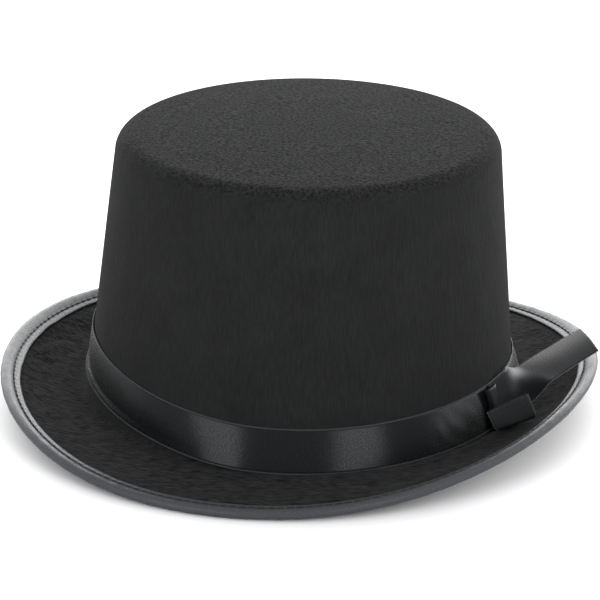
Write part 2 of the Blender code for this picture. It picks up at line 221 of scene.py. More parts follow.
# The felt body: crown and brim, one blank of black polyester felt steamed over a block and stiffened.
# The tip stays rough and fuzzy, the side is stretched into fine upright streaks, and the brim is brushed.
FELT = 2.0 * MM
TIP_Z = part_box("felt_body")[1].z + 0.03 * MM
BRIM_HALF_LENGTH = 153.9 * MM
BRIM_HALF_WIDTH = 130.8 * MM
SIDE_CURL, SIDE_CURL_SKEW, CURL_SPREAD, CURL_BEND = 16.7 * MM, 1.4 * MM, 2.37, 1.5
FOOT_HALF = np.array((102.0, 94.3)) * MM  # half-length and half-width outside the felt
TOP_HALF = np.array((89.3, 84.3)) * MM
SHOULDER_RADIUS, TIP_DOME, CROWN_LEAN = 8.8 * MM, 3.0 * MM, 2.0 * MM
SHOULDER_Z = TIP_Z - SHOULDER_RADIUS - TIP_DOME
FLARE_Z = 4.7 * MM
FOOT_Z, FOOT_RISE, FOOT_FILLET, FILLET_START = 1.7 * MM, 2.4 * MM, 5.0 * MM, np.radians(10.5)
BINDING_ROLL, PRESS_INSET, FELT_INSET, PRESSED = 2.2 * MM, 9.3 * MM, 1.7 * MM, 0.75
PRESS_FADE = 2 * MM
WAVE_HEIGHT, CREASE_DEPTH, DENTS_MIDDLE = 0.30 * MM, 0.55 * MM, TURN * 0.74
RIDGE_HEIGHT, RIDGE_AWAY = 0.65 * MM, 9.5 * MM
FELT_COLUMNS, INNER_STEP = 600, 4  # INNER_STEP: the inner face keeps one row in so many
FELT_TONES = {"tip": 0.0160, "side": 0.0150, "brim": 0.0140}


def smooth(t):
    """3t^2 - 2t^3, with t held between 0 and 1."""
    t = np.clip(t, 0, 1)
    return t * t * (3 - 2 * t)


def hump(t, middle, width):
    """A bell: exp(-((t - middle) / width)^2)."""
    return np.exp(-(((t - middle) / width) ** 2))


def ripple(angle, seed, waves, strength=0.6):
    """A closed wobble round the hat, about -1 to 1: a sum of sines of whole frequencies up to waves, with
    seeded phases and sizes that fall as the frequency to the power strength."""
    draw = np.random.default_rng(seed)
    total = np.zeros_like(angle, dtype=float)
    weight = 0.0
    for k in range(1, waves + 1):
        size = draw.uniform(0.4, 1.0) / k**strength
        total = total + size * np.sin(k * angle + draw.uniform(0, TURN))
        weight += size**2
    return total / np.sqrt(weight * 2)


def side_size(z):
    """Half-length and half-width outside the crown, a straight cone: the top's plus the growth to the foot
    times (shoulder height - z) / (shoulder height - flare height)."""
    flare = np.clip((SHOULDER_Z - z) / (SHOULDER_Z - FLARE_Z), 0, None)
    return TOP_HALF + (FOOT_HALF - TOP_HALF) * flare[..., None]


def oval(angle, half, z):
    """(half-width sin, -half-length cos, z), shifted sideways by the lean in proportion to height."""
    x = half[..., 1] * np.sin(angle) + CROWN_LEAN * z / TIP_Z
    return np.stack((x, -half[..., 0] * np.cos(angle), z + 0 * angle), -1)


def on_side(angle, z, offset):
    """The crown's outer side at height z, moved out by offset."""
    return oval(angle, side_size(z + 0 * angle) + np.asarray(offset)[..., None], z)


def foot_z(angle):
    """The felt's middle height at the foot of the crown: front height plus rise times sin squared."""
    return FOOT_Z + FOOT_RISE * np.sin(angle) ** 2


def brim_point(angle, share):
    """The middle of the brim's thickness: half-sizes go evenly from the fillet's end to the rim, height
    goes smoothly between their heights, and the curl adds (curl + skew sin) |sin|^spread share^bend."""
    z = foot_z(angle)
    half = side_size(z + FOOT_FILLET * (1 - np.sin(FILLET_START)))
    half = half + FOOT_FILLET * np.cos(FILLET_START) - FELT / 2
    half = half + (np.array((BRIM_HALF_LENGTH, BRIM_HALF_WIDTH)) - half) * np.asarray(share)[..., None]
    side = np.sin(angle)
    curl = (SIDE_CURL + SIDE_CURL_SKEW * side) * np.abs(side) ** CURL_SPREAD
    height = z + (BINDING_ROLL - z) * smooth(share) + curl * share**CURL_BEND
    return np.stack((half[..., 1] * side, -half[..., 0] * np.cos(angle), height), -1)


def brim_share(angle, inset):
    """The brim's share at a distance in from the rim."""
    whole = np.linalg.norm(brim_point(angle, 1 + 0 * angle) - brim_point(angle, 0 * angle), axis=-1)
    return 1 - inset / whole


def brim_frame(angle, inset):
    """The brim's middle at an inset from the rim, with its outward, along and upward directions."""
    share, step = brim_share(angle, inset), 1e-4
    here = brim_point(angle, share)
    along = brim_point(angle + step, share) - brim_point(angle - step, share)
    along /= np.linalg.norm(along, axis=-1, keepdims=True)
    out = here - brim_point(angle, share - step)
    up = np.cross(out, along)
    up /= np.linalg.norm(up, axis=-1, keepdims=True)
    return here, np.cross(along, up), along, up


def normals(points, closed):
    """Unit vectors across a grid: the cross product of its steps down the rows and along the columns."""
    down = np.gradient(points, axis=0)
    if closed:
        along = (np.roll(points, -1, 1) - np.roll(points, 1, 1)) / 2
    else:
        along = np.gradient(points, axis=1)
    across = np.cross(down, along)
    return across / np.linalg.norm(across, axis=-1, keepdims=True)


def felt_middle(angle):
    """The middle of the felt as a grid, tip to rim, with each row's zone: 0 tip, 1 side, 2 brim."""
    inner = TOP_HALF - SHOULDER_RADIUS
    middle = FELT / 2
    rows, zones = [], []
    for share in np.linspace(0.03, 1, 26)[:-1]:
        rows.append(oval(angle, inner * share + 0 * angle[:, None], TIP_Z - middle - TIP_DOME * share**2))
        zones.append(0.0)
    radius = SHOULDER_RADIUS - middle
    for turn in np.linspace(0, np.pi / 2, 14):
        half = inner + radius * np.sin(turn) + 0 * angle[:, None]
        rows.append(oval(angle, half, SHOULDER_Z + radius * np.cos(turn)))
        zones.append(float(smooth(turn / (np.pi / 2))))
    side_end = foot_z(angle) + FOOT_FILLET * (1 - np.sin(FILLET_START))
    for share in np.linspace(0, 1, 26)[1:]:
        rows.append(on_side(angle, SHOULDER_Z + (side_end - SHOULDER_Z) * share, -middle))
        zones.append(1.0)
    for turn in np.linspace(FILLET_START, np.pi / 2, 11)[1:-1]:
        half = side_size(side_end) + FOOT_FILLET * (np.cos(FILLET_START) - np.cos(turn)) - middle
        rows.append(oval(angle, half, foot_z(angle) + FOOT_FILLET * (1 - np.sin(turn))))
        zones.append(1 + turn / (np.pi / 2))
    for share in np.linspace(0, 1, 46):
        rows.append(brim_point(angle, brim_share(angle, FELT_INSET) * share))
        zones.append(2.0)
    return np.stack(rows), np.array(zones)


def crumple(points, seed, wave, count):
    """A flat noise of about -1 to 1 over x and y: sines of seeded headings and phases, with wavelengths
    near wave."""
    draw = np.random.default_rng(seed)
    total = 0.0
    for _ in range(count):
        heading, length, phase = draw.uniform(0, np.pi), wave * draw.uniform(0.7, 1.5), draw.uniform(0, TURN)
        reach = points[..., 0] * np.cos(heading) + points[..., 1] * np.sin(heading)
        total = total + np.sin(TURN * reach / length + phase)
    return total / np.sqrt(count / 2)


def felt_relief(angle, points, zones):
    """How far the outer face stands proud: slow waves over the crown and brim, a soft ridge moulded just
    outside the foot, and on the brim shallow dents with short creases, deepest at the wearer's right."""
    slow = ripple(angle, 3, 9)[None] * 0.25 + 0.2 * np.sin(points[..., 2] * 55 + 3 * angle[None])
    relief = WAVE_HEIGHT * slow * smooth(zones / 0.8)[:, None]
    on_brim = smooth(zones - 1)[:, None]
    reach = np.linalg.norm(points[..., :2] / (FOOT_HALF[::-1] + RIDGE_AWAY), axis=-1)
    relief = relief + RIDGE_HEIGHT * hump(reach, 1.0, 0.02) * on_brim * (0.7 + 0.3 * ripple(angle, 8, 14))
    right = 0.25 + 0.75 * hump(angle, DENTS_MIDDLE, 0.6)
    creases = hump(crumple(points, 12, 15 * MM, 5), 0.0, 0.16) * smooth(crumple(points, 13, 30 * MM, 4))
    dents = 0.28 * MM * crumple(points, 14, 18 * MM, 6) + 0.13 * MM * crumple(points, 15, 6 * MM, 8)
    clear = smooth((reach - 1.03) / 0.05) * (zones == 2)[:, None]
    return relief + clear * right * (dents - CREASE_DEPTH * creases)


def felt_body():
    """The shell between the outer face and the inner face, each half a thickness from the middle. The
    thickness falls to the pressed share under the binding."""
    angle = np.linspace(0, TURN, FELT_COLUMNS, endpoint=False)
    middle, zones = felt_middle(angle)
    across = normals(middle, True)
    inset = np.linalg.norm(middle - middle[-1:], axis=-1) + FELT_INSET
    squeeze = smooth((PRESS_INSET + PRESS_FADE - inset) / PRESS_FADE)
    pressed = np.where(zones[:, None] == 2, 1 - (1 - PRESSED) * squeeze, 1)
    half = FELT / 2 * pressed
    outer = middle + across * (half + felt_relief(angle, middle, zones) * (pressed > 0.99))[..., None]
    inner = (middle - across * half[..., None])[::-1][::INNER_STEP]
    points = np.concatenate((outer, inner))
    piece = surface("felt_crown_and_brim", points, close_columns=True, poles=True)
    zones = np.concatenate((zones, zones[::-1][::INNER_STEP]))
    side, brim = 1 - np.abs(zones - 1), zones - 1
    for name, rows in (("side", side), ("brim", brim)):
        values = np.append(np.repeat(np.clip(rows, 0, 1), len(angle)), (0, 0))
        attribute = piece.data.attributes.new(name, "FLOAT", "POINT")
        attribute.data.foreach_set("value", values.astype(np.float32))
    return piece


def felt_finish():
    """Black felt: a grain of tangled fibres on the tip, pulled into upright streaks on the side and brushed
    sideways on the brim. The grain sets the tone, lighter where fibres stand up, and the bump."""
    material, tree, shader = finish("black_felt", (0.015, 0.015, 0.015), 1.0)
    shader.inputs["Specular IOR Level"].default_value = 0.035
    shader.inputs["Sheen Weight"].default_value = 0.021
    shader.inputs["Sheen Roughness"].default_value = 0.45
    place = node(tree, "ShaderNodeTexCoord").outputs["Object"]
    side = node(tree, "ShaderNodeAttribute", attribute_name="side").outputs["Fac"]
    brim = node(tree, "ShaderNodeAttribute", attribute_name="brim").outputs["Fac"]

    def fibres(stretch, scale, detail):
        """Fibre noise stretched by the inverse of each axis's factor."""
        vector = node(tree, "ShaderNodeMapping", {"Vector": place, "Scale": stretch}).outputs["Vector"]
        inputs = {"Vector": vector, "Scale": scale, "Detail": detail, "Roughness": 0.6}
        return node(tree, "ShaderNodeTexNoise", inputs).outputs["Fac"]

    def toned(fac, middle, contrast):
        """A tone from fibre noise: the middle tone less and more the contrast."""
        return ranged(tree, fac, 0.32, 0.68, middle * (1 - contrast), middle * (1 + contrast))

    tangle = fibres((1.0, 1.0, 1.0), 780.0, 3.0)
    streaks = fibres((1.0, 1.0, 0.06), 1500.0, 3.0)
    brushed = fibres((0.3, 1.0, 1.0), 620.0, 4.0)
    cloud = fibres((1.0, 1.0, 1.0), 55.0, 3.0)
    tip_tone, side_tone = toned(tangle, FELT_TONES["tip"], 1.0), toned(streaks, FELT_TONES["side"], 0.2)
    crown = node(tree, "ShaderNodeMix", {0: side, 2: tip_tone, 3: side_tone}).outputs[0]
    tone = node(tree, "ShaderNodeMix", {0: brim, 2: crown, 3: toned(brushed, FELT_TONES["brim"], 0.9)})
    patchy = node(tree, "ShaderNodeMath", {0: tone.outputs[0], 1: toned(cloud, 1.0, 0.07)}, operation="MULTIPLY")
    grey = node(tree, "ShaderNodeCombineColor", dict.fromkeys(range(3), patchy.outputs[0])).outputs[0]
    inputs = {0: 1.0, 6: grey, 7: (0.97, 1.0, 0.985, 1)}
    tinted = node(tree, "ShaderNodeMix", inputs, data_type="RGBA", blend_type="MULTIPLY")
    tree.links.new(tinted.outputs[2], shader.inputs["Base Color"])
    height = node(tree, "ShaderNodeMix", {0: side, 2: toned(tangle, 0.5, 1.0), 3: toned(streaks, 0.5, 0.5)})
    bumped(tree, shader, height.outputs[0], 0.8, 0.45 * MM)
    return material


felt = felt_body()
felt.data.materials.append(felt_finish())
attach(felt, "hat")
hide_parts("felt_body")


# The binding: a glossy grey-black bias strip folded over the brim's edge and sewn through with one row.
# It puffs out at the rim, is pulled in at each stitch, and its ends lap at the back.
BINDING_WALL, EDGE_GAP = 0.45 * MM, 0.3 * MM
STITCH_INSET, STITCHES = 5.3 * MM, 200
PINCHED_HALF = PRESSED * FELT / 2 + EDGE_GAP + BINDING_WALL
LAP_HALF, LAP_STEP = 4.5 * MM, 0.22 * MM  # half the length of the lap at the back, and how far it stands up
PINCH_DEPTH = 0.22 * MM


def binding_section():
    """The closed outline in section as (inset from the rim, half-thickness with its side): the outer face
    from the upper lip over the roll to the lower lip, then back inside the fold."""
    inset = np.array((8.5, 8.3, 7.6, 6.8, 6.1, 5.6, 5.3, 5.0, 4.5, 3.9, 3.3, 2.7, 2.2)) * MM
    half = np.array((1.42, 1.62, 1.80, 1.72, 1.62, 1.54, 1.50, 1.56, 1.78, 2.0, 2.14, 2.2, 2.2)) * MM
    turn = np.radians((15, 30, 45, 60, 75, 90))
    inset = np.append(inset, BINDING_ROLL * (1 - np.sin(turn)))
    half = np.append(half, BINDING_ROLL * np.cos(turn))
    outer = np.stack((inset, half), -1)
    outer = np.concatenate((outer, (outer * (1, -1))[:-1][::-1]))
    gap = PINCHED_HALF - BINDING_WALL
    inner = [(8.3 * MM, -gap), (5.0 * MM, -gap), (1.5 * MM, -gap), (0.6 * MM, -0.5 * MM), (BINDING_WALL, 0.0)]
    inner = np.array(inner)
    inner = np.concatenate((inner, (inner * (1, -1))[:-1][::-1]))
    return outer, inner


def binding():
    """The section carried round the rim. The stitch holes pull the faces in, slow folds from the bias cut
    cross the roll, and the lap at the back stands up."""
    angle = np.linspace(0, TURN, STITCHES * 9, endpoint=False)
    outer, inner = binding_section()
    pinch = 1 - np.abs(np.sin(angle * STITCHES / 2)) ** 0.5
    folds = ripple(angle, 21, 130, 0.3)
    step = smooth((LAP_HALF - np.abs(angle - np.pi) * BRIM_HALF_LENGTH) / (0.4 * MM) + 0.5)
    rings = []
    for number, (inset, half) in enumerate(outer):
        side = np.sign(half)
        swell = 0.08 * MM * folds * hump(inset, 2.6 * MM, 2.6 * MM) + LAP_STEP * step * (side > 0)
        swell = swell - PINCH_DEPTH * pinch * hump(inset, STITCH_INSET, 1.2 * MM)
        lip = 0.28 * MM * ripple(angle, 31 + number % 2, 60, 0.4) * (inset > 8 * MM)
        here, out, _, up = brim_frame(angle, inset + lip)
        lift = half + side * swell
        reach = 0.16 * MM * step + 0.06 * MM * folds
        rings.append(here + up * lift[:, None] + out * (reach * (inset < 2.3 * MM))[:, None])
    for inset, half in inner:
        here, _, _, up = brim_frame(angle, inset + 0 * angle)
        rings.append(here + up * half)
    points = np.stack(rings, 1)
    columns = points.shape[1]
    run = np.append(angle, TURN) * (BRIM_HALF_LENGTH + BRIM_HALF_WIDTH) / 2
    loop = np.concatenate((points[0], points[0, :1]))
    girth = np.append(0, np.cumsum(np.linalg.norm(np.diff(loop, axis=0), axis=-1)))
    uv = np.stack(np.broadcast_arrays(run[:, None], girth[None, : columns + 1]), -1)
    return surface("edge_binding_strip", points, close_rows=True, close_columns=True, uv=uv)


def satin_finish(name, colour, roughness, pitch, depth, along=0.0, gloss=0.5):
    """Satin: long floats of smooth yarn side by side along the strip. Fine ridges of the given pitch run
    along it, from a noise stretched along the run, and the tone varies with them. along, from 0 to 1, is
    how much sharper the gloss is along the floats than across them, and gloss is its strength, which
    varies from yarn to yarn."""
    material, tree, shader = finish(name, colour, roughness)
    shader.inputs["Anisotropic"].default_value = along
    shader.inputs["Anisotropic Rotation"].default_value = 0.25
    shader.inputs["Specular Tint"].default_value = (0.94, 0.98, 1.0, 1)
    if along:
        run = node(tree, "ShaderNodeTangent", direction_type="UV_MAP", uv_map="UVMap")
        tree.links.new(run.outputs["Tangent"], shader.inputs["Tangent"])
    uv = node(tree, "ShaderNodeTexCoord").outputs["UV"]
    floats = node(tree, "ShaderNodeMapping", {"Vector": uv, "Scale": (0.3, 1.0, 1.0)}).outputs["Vector"]
    yarn = node(tree, "ShaderNodeTexNoise", {"Vector": floats, "Scale": 1.0 / pitch, "Detail": 3.0, "Roughness": 0.6})
    cloud = node(tree, "ShaderNodeTexNoise", {"Vector": uv, "Scale": 1500.0, "Detail": 2.0})
    light, dark = (tuple(c * k for c in colour) for k in (1.5, 0.6))
    tree.links.new(between(tree, yarn.outputs["Fac"], dark, light), shader.inputs["Base Color"])
    rough = ranged(tree, cloud.outputs["Fac"], 0.3, 0.7, roughness * 0.7, roughness * 1.3)
    tree.links.new(rough, shader.inputs["Roughness"])
    shine = ranged(tree, yarn.outputs["Fac"], 0.35, 0.65, gloss * 0.4, gloss * 1.6)
    tree.links.new(shine, shader.inputs["Specular IOR Level"])
    bumped(tree, shader, yarn.outputs["Fac"], 0.5, depth)
    return material


edge = binding()
bias_satin = satin_finish("glossy_bias_strip", (0.040, 0.042, 0.046), 0.46, 0.35 * MM, 0.05 * MM, gloss=0.20)
edge.data.materials.append(bias_satin)
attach(edge, "hat")
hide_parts("edge_binding")


# The stitches: black polyester thread, about three millimetres a stitch, one thread above and one below.
# Each lies on the strip for most of a stitch and dives into it at the needle holes.
THREAD_RADIUS = 0.30 * MM


def tube(name, path, up, radius, sides, closed=True):
    """A tube: at each point of a path, a circle in the plane of up and the side direction. An open path
    needs an even number of sides, and its ends are capped."""
    along = np.roll(path, -1, 0) - np.roll(path, 1, 0) if closed else np.gradient(path, axis=0)
    side = np.cross(along, up)
    side /= np.linalg.norm(side, axis=-1, keepdims=True)
    turn = np.linspace(0, TURN, sides, endpoint=False)
    circle = side[:, None] * np.cos(turn)[:, None] + up[:, None] * np.sin(turn)[:, None]
    points = path[:, None] + circle * np.broadcast_to(radius, len(path))[:, None, None]
    run = np.append(0, np.cumsum(np.linalg.norm(np.roll(path, -1, 0) - path, axis=-1)))
    run = run if closed else run[:-1]
    uv = np.stack(np.broadcast_arrays(run[:, None], np.linspace(0, 1, sides + 1)[None] * TURN * np.max(radius)), -1)
    return surface(name, points, close_rows=closed, close_columns=True, caps=not closed, uv=uv)


def stitched(name, angle, here, up, surface_lift, shift):
    """A row of stitches: the thread's lift above the strip is a rounded square wave, high along the stitch
    and under the surface at the holes."""
    wave = np.abs(np.sin(angle * STITCHES / 2 + shift))
    lift = surface_lift + THREAD_RADIUS * (1.1 - 3.2 * (1 - smooth(wave / 0.55)))
    return tube(name, here + up * lift[:, None], up, THREAD_RADIUS, 6)


def thread_finish():
    """Twisted thread: slanting ridges from a wave across the tube and along it."""
    material, tree, shader = finish("black_thread", (0.012, 0.012, 0.012), 0.6)
    uv = node(tree, "ShaderNodeTexCoord").outputs["UV"]
    waves = {"Vector": uv, "Scale": 700.0, "Distortion": 1.0}
    twist = node(tree, "ShaderNodeTexWave", waves, bands_direction="DIAGONAL").outputs["Fac"]
    tree.links.new(ranged(tree, twist, 0.0, 1.0, 0.006, 0.018), shader.inputs["Base Color"])
    bumped(tree, shader, twist, 0.6, 0.05 * MM)
    return material


black_thread = thread_finish()
stitch_angle = np.linspace(0, TURN, STITCHES * 10, endpoint=False)
row, _, _, row_up = brim_frame(stitch_angle, STITCH_INSET)
for side, thread_name in ((1, "needle"), (-1, "bobbin")):
    sewn = stitched(f"binding_{thread_name}_stitches", stitch_angle, row, row_up * side, PINCHED_HALF, 0.0)
    sewn.data.materials.append(black_thread)
    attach(sewn, "hat")
    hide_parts(f"binding_{thread_name}_thread")


# The hat band: black satin ribbon, 18.5 mm wide, with picots (small yarn loops) on both edges, glued round the
# foot of the crown. It leans with the crown's flare, has slipped up on the wearer's right and buckles a little.
RIBBON_WIDTH, RIBBON_THICK = 18.5 * MM, 0.3 * MM
BAND_TOP_Z, BAND_SIDE_RISE, BAND_TILT, BAND_HEIGHT = 21.2 * MM, 6.2 * MM, 3.5 * MM, 17.4 * MM
BAND_SLIP, BAND_SLIP_POWER, BAND_HUG, BAND_HUG_SIDE, BAND_STRAIGHTEN = 4.5 * MM, 1.25, 3.6 * MM, 0.5, 1.0 * MM
BAND_TOP_GAP, BAND_FOOT_GAP = 0.5 * MM, 4.2 * MM
KNOT_START = np.radians(69.5)  # where the knot begins, beside which the band is gathered
PICOT_PITCH, PICOT_REACH, PICOT_RADIUS, PICOT_ROOT, PICOT_LIFT = (v * MM for v in (1.25, 0.75, 0.17, 0.3, 0.12))


def band_point(angle, share, offset=0.0):
    """The band's inner face: height falls from the upper edge by the band's height times share, and the
    gap to the crown grows evenly from the upper edge to the lower edge. On the wearer's right the band has
    slipped up by a power of the sine, and it lies closer there."""
    side = np.sin(angle)
    hug = smooth(-side / BAND_HUG_SIDE)
    slip = BAND_SLIP * np.clip(-side, 0, None) ** BAND_SLIP_POWER
    top = BAND_TOP_Z + BAND_SIDE_RISE * side**2 - BAND_TILT * side + slip
    z = top - (BAND_HEIGHT + BAND_STRAIGHTEN * hug) * share
    return on_side(angle, z, BAND_TOP_GAP + (BAND_FOOT_GAP - BAND_HUG * hug - BAND_TOP_GAP) * share + offset)


def picots(name, edge, outward, face, closed=True):
    """The little yarn loops along a woven edge: one thin tube that swings out and back once each pitch, by
    the size of a sine, and over to the front face half way. edge, outward and face are arrays along the run."""
    step = np.linalg.norm(np.diff(edge, axis=0), axis=-1)
    run = np.append(0, np.cumsum(step))
    count = int(run[-1] / PICOT_PITCH)
    at = np.linspace(0, run[-1], count * 8, endpoint=not closed)
    path, out, up = (np.stack([np.interp(at, run, v[:, k]) for k in range(3)], -1) for v in (edge, outward, face))
    swing = np.abs(np.sin(np.pi * at * count / run[-1]))[:, None]
    path = path + out * (PICOT_REACH * swing - PICOT_ROOT) + up * PICOT_LIFT * (1 - swing)
    return tube(name, path, up, PICOT_RADIUS * (0.3 + 0.9 * swing[:, 0]), 4, closed)


def sheet_uv(length, width):
    """Metres along and across for both faces of a strip, the back face mirrored."""
    both = np.concatenate((width, width[::-1], width[:1]))
    return np.stack(np.broadcast_arrays(length[:, None], both[None]), -1)


def hat_band():
    """The strip round the crown: a grid of angles by shares, bowed out between its edges, with slow
    buckles, slanting gathers beside the knot, and on the wearer's right a crease above a lower edge that
    turns out. The back face is one thickness inside. Also gives the front face as a grid."""
    angle = np.linspace(0, TURN, 1080, endpoint=False)
    share = np.array((0.0, 0.04, 0.12, 0.24, 0.36, 0.48, 0.60, 0.70, 0.78, 0.82, 0.86, 0.91, 0.96, 1.0))
    a, s = np.meshgrid(angle, share, indexing="ij")
    right = hump(a, TURN * 0.79, 0.6)
    buckle = 0.30 * MM * ripple(a, 41, 12, 0.3) * np.sin(np.pi * s)
    crease = right * (0.75 * MM * smooth((s - 0.84) / 0.16) - 0.45 * MM * hump(s, 0.83, 0.05))
    swing = 9 * a - 1.6 * s + 0.12 * np.sin(31 * a + 4 * s)
    gathers = 0.12 * MM * hump(a, KNOT_START - 0.17, 0.16) * np.sin(TURN * swing) * np.sin(np.pi * s) ** 0.5
    bow = 0.35 * MM * np.sin(np.pi * s)
    offset = bow + buckle + crease + gathers
    front = band_point(a, s, RIBBON_THICK + offset)
    points = np.concatenate((front, band_point(a, s, offset)[:, ::-1]), 1)
    length = np.append(angle, TURN) * (FOOT_HALF[0] + FOOT_HALF[1]) / 2
    uv = sheet_uv(length, share * RIBBON_WIDTH)
    return surface("satin_band", points, close_rows=True, close_columns=True, uv=uv), front


# The band's satin is pulled tight, the loose end's is creased and duller, and the back of the cloth is matt.
tight, loose, reverse = (0.0050, 0.0054, 0.0056), (0.0046, 0.0051, 0.0058), (0.016, 0.017, 0.0175)
black_satin = satin_finish("black_satin", tight, 0.27, 0.22 * MM, 0.04 * MM, along=0.85, gloss=0.18)
loose_satin = satin_finish("loose_satin", loose, 0.42, 0.30 * MM, 0.03 * MM, along=0.3, gloss=0.07)
satin_reverse = satin_finish("satin_reverse", reverse, 0.6, 0.30 * MM, 0.06 * MM, gloss=0.15)
# The picots' yarn is the ribbon's own black, but it is given a pale grey about ten times lighter: painted highlight,
# so the loops read as bright beads along the edges.
picot_yarn_painted_highlight, _, _ = finish("picot_yarn_painted_highlight", (0.055, 0.058, 0.064), 0.4)
band, band_face = hat_band()
band.data.materials.append(black_satin)
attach(band, "hat")
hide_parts("hat_band")
band_face = np.concatenate((band_face, band_face[:1]))
band_out = normals(band_face, False)
band_out *= np.sign(np.sum(band_out * band_face * (1, 1, 0), -1, keepdims=True))
for edge_name, row, beside in (("upper", 0, 1), ("lower", -1, -2)):
    away = band_face[:, row] - band_face[:, beside]
    away /= np.linalg.norm(away, axis=-1, keepdims=True)
    loops = picots(f"band_{edge_name}_picots", band_face[:, row], away, band_out[:, row])
    loops.data.materials.append(picot_yarn_painted_highlight)
    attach(loops, "hat")


# The crossing: where the two ends pass over each other, the ribbon is gathered into one upright pleat.
# It stands over the band on the wearer's left and hides where the ends start.
KNOT_END, KNOT_CLEARANCE, KNOT_THICK = np.radians(75.0), 1.8 * MM, 1.8 * MM


def ribbon_knot():
    """A pleat: over the band's width by a short angle, its outer face a raised sine with three smaller
    folds on it, waisted in the middle of its height; the inner face follows the band."""
    part = np.linspace(0, 1, 41)
    share = np.linspace(0.0, 1.0, 25)
    p, s = np.meshgrid(part, share, indexing="ij")
    waist = 1 - 0.28 * np.sin(np.pi * s)
    angle = (KNOT_START + KNOT_END) / 2 + (KNOT_END - KNOT_START) * (p - 0.5) * waist
    bulge = KNOT_THICK * np.sin(np.pi * p) ** 0.6 * (0.75 + 0.25 * np.sin(np.pi * s))
    folds = 0.14 * MM * np.sin(3 * np.pi * p + 1.5 * s) * np.sin(np.pi * p)
    front = band_point(angle, s, 0.8 * MM + KNOT_CLEARANCE + bulge + folds)
    back = band_point(angle, s, 0.5 * MM + KNOT_CLEARANCE + 0 * p)
    points = np.concatenate((front, back[:, ::-1]), 1)
    uv = sheet_uv(part * 12 * MM, share * RIBBON_WIDTH)
    return surface("satin_knot", points, close_columns=True, caps=True, uv=uv)


knot = ribbon_knot()
knot.data.materials.append(loose_satin)
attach(knot, "hat")
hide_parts("ribbon_knot")


# The long end: the ribbon leaves the crown upright, turns flat, and bridges the brim to the rim.
# Its end is cut at a slant and frays.
LONG_START, LONG_CLEARANCE, LONG_RUN_ON, LONG_SAG_Z = np.radians(73), 0.6 * MM, 27.0 * MM, 18.2 * MM
LONG_TIP = np.array((0.1240, 0.0328, 0.0265))
LONG_UPRIGHT, LONG_FLAT, LONG_TURN = np.radians(71.5), np.radians(5.5), (0.22, 0.55)
LONG_CUT_SLANT = 4.1 * MM


def long_frame(share):
    """The long end's middle line, a quadratic curve through its start, a point straight on from it and its
    tip, with the unit directions along it and across it; across turns from upright to nearly flat."""
    start = band_point(LONG_START, 0.5, 0.5 * MM + LONG_CLEARANCE)
    heading = band_point(LONG_START + 1e-3, 0.5) - band_point(LONG_START - 1e-3, 0.5)
    heading = heading * (1, 1, 0) / np.linalg.norm(heading[:2])
    bend = start + heading * LONG_RUN_ON
    bend[2] = LONG_SAG_Z
    t = np.asarray(share)[..., None]
    middle = start * (1 - t) ** 2 + bend * 2 * t * (1 - t) + LONG_TIP * t**2
    along = (bend - start) * (1 - t) + (LONG_TIP - bend) * t
    along /= np.linalg.norm(along, axis=-1, keepdims=True)
    inward = np.stack((-along[..., 1], along[..., 0], 0 * along[..., 0]), -1)
    inward /= np.linalg.norm(inward, axis=-1, keepdims=True)
    turn = LONG_UPRIGHT + (LONG_FLAT - LONG_UPRIGHT) * smooth((t - LONG_TURN[0]) / (LONG_TURN[1] - LONG_TURN[0]))
    across = inward * np.cos(turn) + np.array((0, 0, 1)) * np.sin(turn)
    return middle, along, across


def strip(name, material, middle, along, across, width, cup, slant, run):
    """A ribbon along a line: columns go across it by width, cupped as a cosine; slant pushes the rows on by
    its value times the place across. The back face is one thickness behind. Also makes its two rows of picots."""
    place = np.array((-1.0, -0.93, -0.78, -0.52, -0.26, 0.0, 0.26, 0.52, 0.78, 0.93, 1.0))
    reach = place[None] * (width[:, None] / 2)
    face = np.cross(along, across)
    bowed = cup[:, None] * np.cos(place * np.pi / 2)[None]
    grid = middle[:, None] + across[:, None] * reach[..., None] + along[:, None] * (slant[:, None] * place)[..., None]
    grid = grid + face[:, None] * bowed[..., None]
    skin = normals(grid, False) * RIBBON_THICK / 2
    points = np.concatenate((grid + skin, (grid - skin)[:, ::-1]), 1)
    uv = sheet_uv(run, (place + 1) / 2 * RIBBON_WIDTH)
    piece = surface(name, points, close_columns=True, caps=True, uv=uv)
    piece.data.materials.append(material)
    loops = []
    for edge_name, k in (("first", 0), ("second", -1)):
        away = across * (1 if k else -1)
        face_out = skin[:, k] / np.linalg.norm(skin[:, k], axis=-1, keepdims=True)
        loops.append(picots(f"{name}_{edge_name}_picots", grid[:, k], away, face_out, False))
        loops[-1].data.materials.append(picot_yarn_painted_highlight)
    return piece, loops


